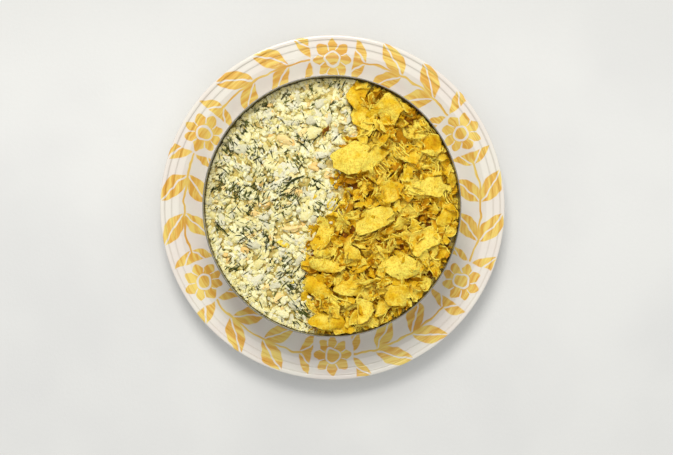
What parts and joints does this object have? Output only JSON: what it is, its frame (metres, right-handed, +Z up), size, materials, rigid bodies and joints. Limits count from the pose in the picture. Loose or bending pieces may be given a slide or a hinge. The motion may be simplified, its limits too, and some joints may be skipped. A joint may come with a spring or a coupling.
{
  "type": "layered salad in ring mould on plate",
  "caption": "Round layered salad in a steel ring mould on a wide glazed dinner plate, topped half with chopped egg and dill and half with crushed potato crisps.",
  "frame": {"origin": "on the table, under the centre of the plate", "axes": "+Z up, +Y away from the eater, +X to the eater's right, where the crisps are"},
  "size_m": [0.28, 0.28, 0.0713],
  "materials": {
    "plate": "gloss",
    "mould": "satin",
    "salad": "matte",
    "crisps": "matte"
  },
  "bodies": {
    "root": {"dinner_plate": "plate", "ring_mould": "mould", "egg_and_dill_salad": "salad", "crushed_crisps": "crisps"}
  },
  "joints": []
}
